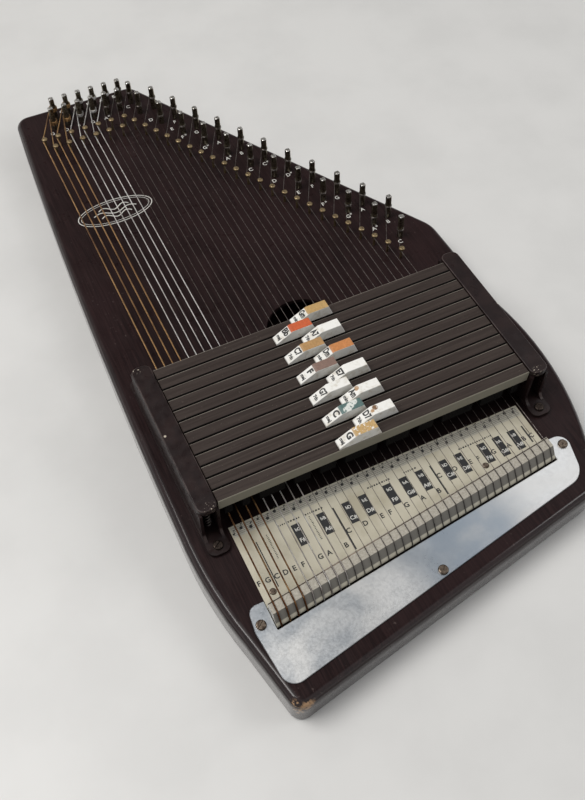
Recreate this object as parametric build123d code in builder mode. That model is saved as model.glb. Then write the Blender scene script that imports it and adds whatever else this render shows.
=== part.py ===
from build123d import *
from math import atan2, cos, radians, sin, tan
import os

# Chorded zither: a flat sound box strung with 36 strings, and twelve sprung chord bars that damp them.
# Millimetres. +X points to the short treble strings, +Y along the strings to the tuning pins, +Z up.
# The origin lies on the flat back, in the middle of the box.

# --- Driving dimensions: sound box ---
BODY_HEIGHT = 29.0
PLY = 3.2  # thickness of the soundboard and of the back
TOP_ROUND = 5.0
BACK_ROUND = 2.0
HEAD_Y = 287.25
HEAD_LEFT = Vector(-127.3, HEAD_Y)
HEAD_RIGHT = Vector(-19.3, HEAD_Y)
SHOULDER = Vector(138.4, 13.6)
WAIST = Vector(140.2, -76.0)
BOUT_MIDDLE = Vector(144.6, -127.0)
BOUT_END = Vector(127.8, -208.75)
TAIL_RIGHT = Vector(118.8, -241.95)
TAIL_LEFT = Vector(-127.7, -287.5)
BASS_BEND_END = Vector(-138.3, -237.25)
BASS_BEND_START = Vector(-147.3, -164.25)
BASS_MIDDLE = Vector(-141.9, 62.75)
TAIL_SLOPE = (TAIL_RIGHT.Y - TAIL_LEFT.Y) / (TAIL_RIGHT.X - TAIL_LEFT.X)
CAVITY_BASS_X = -119.0
CAVITY_TREBLE_X = 111.0
CAVITY_HEAD_Y = 208.0
CAVITY_CORNER_X = -50.0
CAVITY_SHOULDER = Vector(76.0, -22.0)
TAIL_BLOCK_DEPTH = 62.0
SOUNDHOLE_CENTRE = (-2.1, -39.4)
SOUNDHOLE_RADIUS = 27.8
BRACE_WIDTH = 10.0
BRACE_HEIGHT = 9.0
BRACE_LINES = [130.0, 30.0, -100.0]

# --- Driving dimensions: strings ---
STRING_COUNT = 36
STRING_PITCH = 6.0
FIRST_STRING_X = -114.8
STRING_HEIGHT = BODY_HEIGHT + 9.0
BASS_WOUND = range(0, 4)
MID_WOUND = range(4, 9)
PLAIN = range(9, STRING_COUNT)
BASS_RADIUS = 0.6
MID_RADIUS = 0.45
PLAIN_RADIUS = 0.25
BRIDGE_SLOPE = 0.117
BRIDGE_FOOT_Y = -237.75  # front foot of the bridge block under the first string
BRIDGE_HEIGHT = 8.35
BRIDGE_TOP_DEPTH = 7.6
BRIDGE_FOOT_DEPTH = 13.1
BRIDGE_FRONT_RUN = BRIDGE_FOOT_DEPTH - BRIDGE_TOP_DEPTH
BRIDGE_MARGIN = 3.0  # how far the block and the chart reach past the outer strings
CHART_TOP_Y = -165.3
CHART_THICKNESS = 0.4
FIT = 0.05  # clearance round a pin in its bore

# --- Driving dimensions: pins ---
TUNING_RADIUS = 2.35
TUNING_RISE = 20.8
TUNING_DEPTH = 19.0
TUNING_LEAN = 4.0  # degrees, away from the strings
TUNING_SQUARE = 4.0
TUNING_SQUARE_HEIGHT = 11.0
TUNING_ROW_PITCH = 12.0
BACK_ROW = {
    "start": Vector(-94.2, 272.0),
    "corner": Vector(-26.5, 264.4),
    "slope": Vector(-10.8, 248.7),
    "step": Vector(12.05, -21.16),
    "coil_height": 11.0,
}
FRONT_ROW = {
    "start": Vector(-98.6, 259.6),
    "corner": Vector(-24.3, 247.8),
    "slope": Vector(-11.8, 227.0),
    "step": Vector(11.94, -21.36),
    "coil_height": 7.6,
}
PINS_BEFORE_CORNER = 6
COIL_LENGTH = 2.6
COIL_THICKNESS = 0.6
GUIDE_RADIUS = 1.0
GUIDE_HEAD_RADIUS = 2.4
GUIDE_HEAD_BASE = 9.75
GUIDE_HEAD_RISE = 1.3
GUIDE_DEPTH = 12.0
GUIDE_ZIGZAG = 13  # the bass guide pins stand in two rows, the others in one slanting line
GUIDE_FAR_Y = 235.25
GUIDE_NEAR_Y = 223.25
GUIDE_SLOPE_Y = 226.55
GUIDE_SLOPE_STEP = -10.69
HITCH_RADIUS = 1.0
HITCH_SETBACK = 6.5
HITCH_POCKET_DEPTH = 5.2
HITCH_POCKET_MARGIN = 4.0
HITCH_BORE_DEPTH = 9.0
BALL_RADIUS = 2.0
BALL_LENGTH = 2.0

# --- Driving dimensions: chord bars and their holders ---
BAR_COUNT = 12
BAR_PITCH = 9.26
BAR_WIDTH = 8.4
BAR_HEIGHT = 9.2
BAR_TOP = BODY_HEIGHT + 33.2
BAR_REAR_Y = -52.25
BAR_LEFT = -121.3
BAR_RIGHT = 103.4
TONGUE_LENGTH = 9.2
TONGUE_WIDTH = 6.2
TONGUE_HEIGHT = 4.7
BAR_TRAVEL = 4.0
FELT_HEIGHT = 10.1
FELT_WIDTH = 7.0
FELT_MARGIN = 2.6  # how far a pad reaches past the outer strings that it damps
HOLDER_WIDTH = 13.3
HOLDER_WALL = 2.0
HOLDER_GAP = 0.6  # between the bar's shoulder and the holder
HOLDER_BASE = 2.6
HOLDER_REAR_Y = -46.0
HOLDER_FRONT_Y = -166.2
PAD_LENGTH = 14.6
PAD_FLARE = 6.0
CAP_THICKNESS = 4.6
CAP_TOP = BAR_TOP + 0.5
SLOT_CLEARANCE = 0.35
SPRING_RADIUS = 2.2
SPRING_WIRE = 0.35
SPRING_TURNS = 6
BUTTON_LENGTH = 30.2
BUTTON_WIDTH = 6.9
BUTTON_HEIGHT = 8.8
BUTTON_LIP = 1.4
BUTTON_FOLD = 12.2
BUTTON_SHELF_END = 26.8
BUTTON_SETBACK = 0.2
BUTTON_LEFT_X = -38.1
BUTTON_RIGHT_X = -20.9

# --- Driving dimensions: covers and fasteners ---
COVER_THICKNESS = 1.2
COVER_GAP = 1.6  # slot between the bridge block and the cover, where the strings go down
SCREW_RADIUS = 1.5
SCREW_HEAD_RADIUS = 3.3
SCREW_HEAD_RISE = 1.6
SCREW_DEPTH = 13.0
DRIVE_WIDTH = 0.9
DRIVE_DEPTH = 0.8
TACK_HEAD_RADIUS = 2.2
COVER_SCREWS = [(-125.9, -233.0), (-10.6, -249.5), (108.6, -206.0)]
CHART_TACKS = [(-110.3, -216.5), (53.6, -197.4)]

# --- Music: the strings' notes and the chords that the bars leave sounding ---
STRING_NOTES = (
    "F G C D E F F# G A A# B C C# D D# E F F# G G# A A# B C C# D D# E F F# G G# A A# B C"
).split()
CHORDS = [
    ("g_minor", "G A# D", "right"),
    ("b_flat_major", "A# D F", "left"),
    ("a_seventh", "A C# E G", "right"),
    ("c_seventh", "C E G A#", "left"),
    ("d_minor", "D F A", "right"),
    ("f_major", "F A C", "left"),
    ("e_seventh", "E G# B D", "right"),
    ("g_seventh", "G B D F", "left"),
    ("a_minor", "A C E", "right"),
    ("c_major", "C E G", "left"),
    ("d_seventh", "D F# A C", "right"),
    ("g_major", "G B D", "left"),
]


def string_x(string):
    """X of a string between the bridge block and its guide pin."""
    return FIRST_STRING_X + STRING_PITCH * string


def string_radius(string):
    """Radius of a string."""
    if string in BASS_WOUND:
        return BASS_RADIUS
    return MID_RADIUS if string in MID_WOUND else PLAIN_RADIUS


def bridge_foot(x):
    """Y of the bridge block's front foot at x."""
    return BRIDGE_FOOT_Y + BRIDGE_SLOPE * (x - FIRST_STRING_X)


def guide_pin_centre(string):
    """Centre of a guide pin, which stands just to the treble side of its string."""
    x = string_x(string) + string_radius(string) + GUIDE_RADIUS + FIT
    if string >= GUIDE_ZIGZAG:
        return Vector(x, GUIDE_SLOPE_Y + GUIDE_SLOPE_STEP * (string - GUIDE_ZIGZAG))
    return Vector(x, GUIDE_NEAR_Y if string % 2 else GUIDE_FAR_Y)


def tuning_row(string):
    """The row of tuning pins that a string belongs to."""
    return FRONT_ROW if string % 2 else BACK_ROW


def tuning_plane(string, rise):
    """Plane square to a tuning pin's leaning axis, at a rise along it from the soundboard."""
    row, place = tuning_row(string), string // 2
    if place < PINS_BEFORE_CORNER:
        top = row["start"] + Vector(TUNING_ROW_PITCH * place, 0)
    elif place == PINS_BEFORE_CORNER:
        top = row["corner"]
    else:
        top = row["slope"] + row["step"] * (place - PINS_BEFORE_CORNER - 1)
    axis = Vector(0, sin(radians(TUNING_LEAN)), cos(radians(TUNING_LEAN)))
    foot = Vector(top.X, top.Y - axis.Y * TUNING_RISE, BODY_HEIGHT)
    return Plane(origin=foot + axis * rise, x_dir=(1, 0, 0), z_dir=axis)


def bar_centre_y(bar):
    """Y of the middle of a chord bar, counted from the head."""
    return BAR_REAR_Y - BAR_PITCH * (bar + 0.5)


def finish(piece, name):
    """Name a finished piece and write its file."""
    piece.part.label = name
    export_step(piece.part, f"parts/{name}.step")


os.makedirs("parts", exist_ok=True)
STRINGS = range(STRING_COUNT)
TOP = Plane.XY.offset(BODY_HEIGHT)

# --- Sound box ---
with BuildPart() as body_blank:
    with BuildSketch() as body_outline:
        with BuildLine():
            Line(HEAD_LEFT, HEAD_RIGHT)
            Line(HEAD_RIGHT, SHOULDER)
            Line(SHOULDER, WAIST)
            ThreePointArc(WAIST, BOUT_MIDDLE, BOUT_END)
            Line(BOUT_END, TAIL_RIGHT)
            Line(TAIL_RIGHT, TAIL_LEFT)
            Line(TAIL_LEFT, BASS_BEND_END)
            TangentArc(BASS_BEND_START, BASS_BEND_END, tangent=(0, -1))
            ThreePointArc(BASS_BEND_START, BASS_MIDDLE, HEAD_LEFT)
        make_face()
        corner_rounds = [
            (HEAD_LEFT, 12),
            (HEAD_RIGHT, 12),
            (SHOULDER, 26),
            (WAIST, 60),
            (TAIL_RIGHT, 26),
            (TAIL_LEFT, 9),
        ]
        for corner, radius in corner_rounds:
            fillet(body_outline.vertices().sort_by_distance(corner)[0], radius)
    extrude(amount=BODY_HEIGHT)
    fillet(body_blank.edges().group_by(Axis.Z)[-1], TOP_ROUND)
    fillet(body_blank.edges().group_by(Axis.Z)[0], BACK_ROUND)

REACH = 400.0
tail_inner_left = Vector(CAVITY_BASS_X, TAIL_LEFT.Y + TAIL_BLOCK_DEPTH)
tail_inner_right = tail_inner_left + Vector(1, TAIL_SLOPE) * (CAVITY_TREBLE_X - CAVITY_BASS_X)
cavity_points = [
    (CAVITY_BASS_X, CAVITY_HEAD_Y),
    (CAVITY_CORNER_X, CAVITY_HEAD_Y),
    CAVITY_SHOULDER,
    (CAVITY_TREBLE_X, CAVITY_SHOULDER.Y),
    tail_inner_right,
    tail_inner_left,
]
head_region = [
    (-REACH, CAVITY_HEAD_Y),
    (CAVITY_CORNER_X, CAVITY_HEAD_Y),
    CAVITY_SHOULDER,
    (REACH, CAVITY_SHOULDER.Y),
    (REACH, REACH),
    (-REACH, REACH),
]
tail_region = [
    tail_inner_left + Vector(-1, -TAIL_SLOPE) * REACH,
    tail_inner_right + Vector(1, TAIL_SLOPE) * REACH,
    (REACH, -REACH),
    (-REACH, -REACH),
]

with BuildPart() as frame_ring:
    add(body_blank.part)
    split(bisect_by=Plane.XY.offset(PLY), keep=Keep.TOP)
    split(bisect_by=Plane.XY.offset(BODY_HEIGHT - PLY), keep=Keep.BOTTOM)
    with BuildSketch():
        Polygon(*cavity_points, align=None)
    extrude(amount=BODY_HEIGHT, mode=Mode.SUBTRACT)

with BuildPart() as back_panel:
    add(body_blank.part)
    split(bisect_by=Plane.XY.offset(PLY), keep=Keep.BOTTOM)
finish(back_panel, "back_panel")


def bore_screws(places):
    """Cut screw bores down from the soundboard's surface in the part being built."""
    with BuildSketch(TOP) as bores:
        with Locations(*places):
            Circle(SCREW_RADIUS + FIT)
    extrude(bores.sketch, amount=-SCREW_DEPTH, mode=Mode.SUBTRACT)


def bore_tuning_pins():
    """Cut the leaning blind bores of the tuning pins."""
    for string in STRINGS:
        with BuildSketch(tuning_plane(string, -TUNING_DEPTH)) as bore:
            Circle(TUNING_RADIUS + FIT)
        extrude(bore.sketch, amount=TUNING_DEPTH + TOP_ROUND, mode=Mode.SUBTRACT)


def bore_guide_pins():
    """Cut the blind bores of the guide pins."""
    with BuildSketch(TOP) as bores:
        with Locations(*[guide_pin_centre(string) for string in STRINGS]):
            Circle(GUIDE_RADIUS + FIT)
    extrude(bores.sketch, amount=-GUIDE_DEPTH, mode=Mode.SUBTRACT)


def hitch_place(string):
    """Centre of a hitch pin, behind the bridge block and under the cover."""
    return Vector(string_x(string), bridge_foot(string_x(string)) - HITCH_SETBACK)


def cut_hitch_pocket():
    """Cut the slanting pocket under the cover where the hitch pins stand."""
    ends = [string_x(0) - BALL_RADIUS - 1, string_x(STRING_COUNT - 1) + BALL_RADIUS + 1]
    rear = [(x, bridge_foot(x) + 0.3) for x in ends]
    front = [(x, bridge_foot(x) - HITCH_SETBACK - HITCH_POCKET_MARGIN) for x in reversed(ends)]
    with BuildSketch(TOP) as pocket:
        Polygon(*rear, *front, align=None)
    extrude(pocket.sketch, amount=-HITCH_POCKET_DEPTH, mode=Mode.SUBTRACT)


holder_left_x = BAR_LEFT - HOLDER_GAP - HOLDER_WIDTH / 2
holder_right_x = BAR_RIGHT + HOLDER_GAP + HOLDER_WIDTH / 2
pad_front_y = HOLDER_FRONT_Y - PAD_LENGTH / 2 - 1.3
pad_rear_y = HOLDER_REAR_Y + PAD_LENGTH / 2 + 1.3
holder_screw_places = [(x, y) for x in (holder_left_x, holder_right_x) for y in (pad_front_y, pad_rear_y)]

with BuildPart() as pin_block:
    add(frame_ring.part)
    with BuildSketch():
        Polygon(*head_region, align=None)
    extrude(amount=BODY_HEIGHT, mode=Mode.INTERSECT)
    bore_tuning_pins()
    bore_guide_pins()
finish(pin_block, "pin_block")

with BuildPart() as tail_block:
    add(frame_ring.part)
    with BuildSketch():
        Polygon(*tail_region, align=None)
    extrude(amount=BODY_HEIGHT, mode=Mode.INTERSECT)
    cut_hitch_pocket()
    bore_screws(COVER_SCREWS)
    with BuildSketch(TOP):
        with Locations(*[hitch_place(string) for string in STRINGS]):
            Circle(HITCH_RADIUS + FIT)
    extrude(amount=-HITCH_POCKET_DEPTH - HITCH_BORE_DEPTH, mode=Mode.SUBTRACT)
finish(tail_block, "tail_block")

with BuildPart() as side_rails:
    add(frame_ring.part)
    with BuildSketch():
        Polygon(*head_region, align=None)
        Polygon(*tail_region, align=None)
    extrude(amount=BODY_HEIGHT, mode=Mode.SUBTRACT)
    bore_screws(holder_screw_places)

for side, name in ((Keep.BOTTOM, "bass_rail"), (Keep.TOP, "treble_rail")):
    with BuildPart() as rail:
        add(side_rails.part)
        split(bisect_by=Plane.YZ, keep=side)
    finish(rail, name)

with BuildPart() as soundboard:
    add(body_blank.part)
    split(bisect_by=Plane.XY.offset(BODY_HEIGHT - PLY), keep=Keep.TOP)
    with BuildSketch(TOP):
        with Locations(SOUNDHOLE_CENTRE):
            Circle(SOUNDHOLE_RADIUS)
    extrude(amount=-BODY_HEIGHT, mode=Mode.SUBTRACT)
    bore_tuning_pins()
    bore_guide_pins()
    cut_hitch_pocket()
    bore_screws(COVER_SCREWS + holder_screw_places)
finish(soundboard, "soundboard")

with BuildPart() as braces:
    for line in BRACE_LINES:
        treble_end = CAVITY_TREBLE_X
        if line > CAVITY_SHOULDER.Y:
            climb = (line - CAVITY_SHOULDER.Y) / (CAVITY_HEAD_Y - CAVITY_SHOULDER.Y)
            treble_end = CAVITY_SHOULDER.X + climb * (CAVITY_CORNER_X - CAVITY_SHOULDER.X)
            treble_end = treble_end - BRACE_WIDTH / 2
        with BuildSketch(Plane.XY.offset(BODY_HEIGHT - PLY)):
            with Locations(((CAVITY_BASS_X + treble_end) / 2, line)):
                Rectangle(treble_end - CAVITY_BASS_X, BRACE_WIDTH)
        extrude(amount=-BRACE_HEIGHT)
finish(braces, "braces")

# --- Pins ---
with BuildPart() as tuning_pins:
    for string in STRINGS:
        with BuildSketch(tuning_plane(string, -TUNING_DEPTH)):
            Circle(TUNING_RADIUS)
        extrude(amount=TUNING_DEPTH + TUNING_RISE - TUNING_SQUARE_HEIGHT)
        with BuildSketch(tuning_plane(string, TUNING_RISE - TUNING_SQUARE_HEIGHT)) as shank:
            Circle(TUNING_RADIUS)
            Rectangle(TUNING_SQUARE, TUNING_SQUARE, mode=Mode.INTERSECT)
        extrude(amount=TUNING_SQUARE_HEIGHT)
    pin_tops = tuning_pins.faces().filter_by(lambda face: face.center().Z > BODY_HEIGHT + TUNING_RISE - 0.2)
    chamfer(pin_tops.edges(), 0.5)
finish(tuning_pins, "tuning_pins")

with BuildPart() as guide_pins:
    with BuildSketch(TOP.offset(-GUIDE_DEPTH)):
        with Locations(*[guide_pin_centre(string) for string in STRINGS]):
            Circle(GUIDE_RADIUS)
    extrude(amount=GUIDE_DEPTH + GUIDE_HEAD_BASE)
    with BuildSketch(TOP.offset(GUIDE_HEAD_BASE)):
        with Locations(*[guide_pin_centre(string) for string in STRINGS]):
            Circle(GUIDE_HEAD_RADIUS)
    extrude(amount=GUIDE_HEAD_RISE)
    fillet(guide_pins.edges().group_by(Axis.Z)[-1], GUIDE_HEAD_RISE * 0.8)
finish(guide_pins, "guide_pins")

with BuildPart() as hitch_pins:
    with BuildSketch(TOP.offset(-HITCH_POCKET_DEPTH - HITCH_BORE_DEPTH)):
        with Locations(*[hitch_place(string) for string in STRINGS]):
            Circle(HITCH_RADIUS)
    extrude(amount=HITCH_POCKET_DEPTH + HITCH_BORE_DEPTH - 0.3)
finish(hitch_pins, "hitch_pins")

# --- Bridge block, chart and cover ---
bridge_left_x = string_x(0) - BRIDGE_MARGIN
bridge_right_x = string_x(STRING_COUNT - 1) + BRIDGE_MARGIN
bridge_length = bridge_right_x - bridge_left_x
bridge_shear = Vector(bridge_length, BRIDGE_SLOPE * bridge_length)

with BuildPart() as bridge_block:
    section_plane = Plane(
        origin=(bridge_left_x, bridge_foot(bridge_left_x), BODY_HEIGHT), x_dir=(0, 1, 0), z_dir=(1, 0, 0)
    )
    with BuildSketch(section_plane):
        Polygon(
            (0, 0),
            (BRIDGE_FOOT_DEPTH, 0),
            (BRIDGE_FOOT_DEPTH, BRIDGE_HEIGHT),
            (BRIDGE_FRONT_RUN, BRIDGE_HEIGHT),
            (0.4, 1.0),
            align=None,
        )
    extrude(amount=bridge_shear.length, dir=bridge_shear)
finish(bridge_block, "bridge_block")

with BuildPart() as note_chart:
    with BuildSketch(TOP):
        Polygon(
            (bridge_left_x, CHART_TOP_Y),
            (bridge_left_x, bridge_foot(bridge_left_x) + BRIDGE_FOOT_DEPTH),
            (bridge_right_x, bridge_foot(bridge_right_x) + BRIDGE_FOOT_DEPTH),
            (bridge_right_x, CHART_TOP_Y),
            align=None,
        )
    extrude(amount=CHART_THICKNESS)
    with BuildSketch(TOP):
        with Locations(*CHART_TACKS):
            Circle(SCREW_RADIUS / 2 + FIT)
    extrude(amount=CHART_THICKNESS, mode=Mode.SUBTRACT)
finish(note_chart, "note_chart")

with BuildPart() as anchor_cover:
    notch_left = bridge_left_x - 0.3
    notch_right = bridge_right_x + 0.3
    with BuildSketch(TOP) as cover_outline:
        cover_corners = [
            (Vector(notch_left, -219.8), 0.8),
            (Vector(notch_left, bridge_foot(notch_left) - COVER_GAP), 0.6),
            (Vector(notch_right, bridge_foot(notch_right) - COVER_GAP), 0.6),
            (Vector(notch_right, -198.6), 0.8),
            (Vector(115.9, -198.6), 7.5),
            (Vector(106.8, -232.0), 16.0),
            (Vector(-127.2, -275.2), 9.0),
            (Vector(-130.9, -236.0), 12.0),
            (Vector(-129.0, -219.8), 6.0),
        ]
        Polygon(*[corner for corner, radius in cover_corners], align=None)
        for corner, radius in cover_corners:
            fillet(cover_outline.vertices().sort_by_distance(corner)[0], radius)
    extrude(amount=COVER_THICKNESS)
    chamfer(anchor_cover.edges().group_by(Axis.Z)[-1], 0.3)
    with BuildSketch(TOP):
        with Locations(*COVER_SCREWS):
            Circle(SCREW_RADIUS + FIT)
    extrude(amount=COVER_THICKNESS, mode=Mode.SUBTRACT)
finish(anchor_cover, "anchor_cover")


def place_screws(places, seat_height):
    """Add pan-head screws whose heads sit at a height over the soundboard."""
    with BuildSketch(TOP.offset(-SCREW_DEPTH)) as shanks:
        with Locations(*places):
            Circle(SCREW_RADIUS)
    extrude(shanks.sketch, amount=SCREW_DEPTH + seat_height)
    with BuildSketch(TOP.offset(seat_height)) as heads:
        with Locations(*places):
            Circle(SCREW_HEAD_RADIUS)
    screws = extrude(heads.sketch, amount=SCREW_HEAD_RISE)
    fillet(screws.edges().group_by(Axis.Z)[-1], SCREW_HEAD_RISE * 0.6)
    with BuildSketch(TOP.offset(seat_height + SCREW_HEAD_RISE)) as drives:
        with Locations(*places):
            Rectangle(2 * SCREW_HEAD_RADIUS, DRIVE_WIDTH, rotation=35)
    extrude(drives.sketch, amount=-DRIVE_DEPTH, mode=Mode.SUBTRACT)


with BuildPart() as cover_screws:
    place_screws(COVER_SCREWS, COVER_THICKNESS)
finish(cover_screws, "cover_screws")

with BuildPart() as chart_tacks:
    with BuildSketch(TOP):
        with Locations(*CHART_TACKS):
            Circle(SCREW_RADIUS / 2)
    extrude(amount=CHART_THICKNESS)
    with BuildSketch(TOP.offset(CHART_THICKNESS)):
        with Locations(*CHART_TACKS):
            Circle(TACK_HEAD_RADIUS)
    extrude(amount=0.8)
    fillet(chart_tacks.edges().group_by(Axis.Z)[-1], 0.6)
finish(chart_tacks, "chart_tacks")


# --- Strings ---
def string_route(string):
    """Points of a string's run: hitch pin, over the bridge block, past the guide pin, tuning pin."""
    x = string_x(string)
    foot = bridge_foot(x)
    radius = string_radius(string)
    pin = guide_pin_centre(string)
    coil = tuning_plane(string, tuning_row(string)["coil_height"]).origin
    end = Vector(coil.X - TUNING_RADIUS - FIT - radius, coil.Y, coil.Z)
    bend = atan2(end.X - x, end.Y - pin.Y)
    return [
        Vector(x, foot - HITCH_SETBACK + BALL_RADIUS - 0.5, BODY_HEIGHT - HITCH_POCKET_DEPTH / 2 - 1),
        Vector(x, foot - radius - 0.15, BODY_HEIGHT - 1.0),
        Vector(x, foot - radius - 0.1, BODY_HEIGHT + COVER_THICKNESS),
        Vector(x, foot + BRIDGE_FRONT_RUN - radius / 2, STRING_HEIGHT),
        Vector(x, pin.Y + (pin.X - x) * tan(bend / 2), STRING_HEIGHT),
        end,
    ]


def add_string(string):
    """Add a string: its run, the ball end on the hitch pin, and the coil on the tuning pin."""
    route = string_route(string)
    with BuildLine() as run:
        Polyline(*route)
    with BuildSketch(Plane(origin=route[0], z_dir=route[1] - route[0])) as section:
        Circle(string_radius(string))
    sweep(section.sketch, path=run.line, transition=Transition.RIGHT)
    hitch = hitch_place(string)
    with BuildSketch(Plane(origin=(hitch.X, hitch.Y, route[0].Z - BALL_LENGTH / 2))) as ball_end:
        Circle(BALL_RADIUS)
        Circle(HITCH_RADIUS + FIT, mode=Mode.SUBTRACT)
    extrude(ball_end.sketch, amount=BALL_LENGTH)
    with BuildSketch(tuning_plane(string, tuning_row(string)["coil_height"] - COIL_LENGTH / 2)) as coil:
        Circle(TUNING_RADIUS + FIT + COIL_THICKNESS)
        Circle(TUNING_RADIUS + FIT, mode=Mode.SUBTRACT)
    extrude(coil.sketch, amount=COIL_LENGTH)


string_groups = [
    (BASS_WOUND, "strings_bass_wound"),
    (MID_WOUND, "strings_mid_wound"),
    (PLAIN, "strings_plain"),
]
for group, name in string_groups:
    with BuildPart() as strings:
        for string in group:
            add_string(string)
    finish(strings, name)

# --- Holders of the chord bars ---
holder_height = CAP_TOP - CAP_THICKNESS - BODY_HEIGHT
slot_bottom = BAR_TOP - BAR_HEIGHT - BAR_TRAVEL - 1.0 - BODY_HEIGHT


def holder_wall(x, thickness):
    """Add a wall of a holder, whose two ends flare down on to the pads."""
    front, rear = HOLDER_FRONT_Y, HOLDER_REAR_Y
    section_plane = Plane(origin=(x - thickness / 2, 0, BODY_HEIGHT), x_dir=(0, 1, 0), z_dir=(1, 0, 0))
    with BuildSketch(section_plane) as section:
        with BuildLine():
            Polyline(
                (front - PAD_FLARE, HOLDER_BASE),
                (front - PAD_FLARE, 0),
                (rear + PAD_FLARE, 0),
                (rear + PAD_FLARE, HOLDER_BASE),
            )
            RadiusArc((rear + PAD_FLARE, HOLDER_BASE), (rear, HOLDER_BASE + PAD_FLARE), PAD_FLARE)
            Polyline(
                (rear, HOLDER_BASE + PAD_FLARE),
                (rear, holder_height),
                (front, holder_height),
                (front, HOLDER_BASE + PAD_FLARE),
            )
            RadiusArc((front, HOLDER_BASE + PAD_FLARE), (front - PAD_FLARE, HOLDER_BASE), PAD_FLARE)
        make_face()
    extrude(section.sketch, amount=thickness)


def build_holder(centre_x, inner_side):
    """Fill the part being built with one holder; inner_side is +1 where the bars lie to its +X."""
    middle_y = (HOLDER_FRONT_Y + HOLDER_REAR_Y) / 2
    base_length = HOLDER_REAR_Y - HOLDER_FRONT_Y + 2 * PAD_LENGTH
    with BuildSketch(TOP) as base:
        with Locations((centre_x, middle_y)):
            RectangleRounded(HOLDER_WIDTH + 1.4, base_length, 5.0)
    extrude(base.sketch, amount=HOLDER_BASE)
    outer_x = centre_x - inner_side * (HOLDER_WIDTH - HOLDER_WALL) / 2
    inner_x = centre_x + inner_side * (HOLDER_WIDTH - HOLDER_WALL) / 2
    holder_wall(outer_x, HOLDER_WALL)
    holder_wall(inner_x, HOLDER_WALL)
    with BuildSketch(TOP.offset(slot_bottom)) as slots:
        with Locations(*[(inner_x, bar_centre_y(bar)) for bar in range(BAR_COUNT)]):
            Rectangle(HOLDER_WALL + 1, TONGUE_WIDTH + 2 * SLOT_CLEARANCE)
    extrude(slots.sketch, amount=holder_height - slot_bottom, mode=Mode.SUBTRACT)
    with BuildSketch(TOP) as bores:
        with Locations(*holder_screw_places):
            Circle(SCREW_RADIUS + FIT)
    extrude(bores.sketch, amount=HOLDER_BASE, mode=Mode.SUBTRACT)


def build_cap(centre_x):
    """Fill the part being built with the strip that closes a holder over the bars' tongues."""
    with BuildSketch(Plane.XY.offset(CAP_TOP - CAP_THICKNESS)) as outline:
        with Locations((centre_x, (HOLDER_FRONT_Y + HOLDER_REAR_Y) / 2)):
            RectangleRounded(HOLDER_WIDTH, HOLDER_REAR_Y - HOLDER_FRONT_Y, 5.0)
    cap = extrude(outline.sketch, amount=CAP_THICKNESS)
    fillet(cap.edges().group_by(Axis.Z)[-1], 0.9)


for side, centre_x, inner_side in (("bass", holder_left_x, 1), ("treble", holder_right_x, -1)):
    with BuildPart() as bar_holder:
        build_holder(centre_x, inner_side)
    finish(bar_holder, f"bar_holder_{side}")
    with BuildPart() as holder_cap:
        build_cap(centre_x)
    finish(holder_cap, f"holder_cap_{side}")

with BuildPart() as holder_screws:
    place_screws(holder_screw_places, HOLDER_BASE)
finish(holder_screws, "holder_screws")

spring_base = BODY_HEIGHT + HOLDER_BASE + SPRING_WIRE
spring_height = BAR_TOP - BAR_HEIGHT - SPRING_WIRE - spring_base
spring_left_x = BAR_LEFT - HOLDER_GAP - HOLDER_WALL - 4.6
spring_right_x = BAR_RIGHT + HOLDER_GAP + HOLDER_WALL + 4.6
with BuildPart() as spring_coil:
    with BuildLine():
        coil_line = Helix(spring_height / SPRING_TURNS, spring_height, SPRING_RADIUS)
    with BuildSketch(Plane(origin=coil_line @ 0, z_dir=coil_line % 0)):
        Circle(SPRING_WIRE)
    sweep(is_frenet=True)

with BuildPart() as bar_springs:
    for x in (spring_left_x, spring_right_x):
        for bar in range(BAR_COUNT):
            with Locations((x, bar_centre_y(bar), spring_base)):
                add(spring_coil.part)
finish(bar_springs, "bar_springs")


# --- Chord bars, with their buttons and felt pads ---
def damped_runs(chord_tones):
    """First and last string of each run of neighbouring strings that a chord bar silences."""
    damped = [string for string in STRINGS if STRING_NOTES[string] not in chord_tones]
    starts = [string for string in damped if string - 1 not in damped]
    ends = [string for string in damped if string + 1 not in damped]
    return list(zip(starts, ends))


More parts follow.
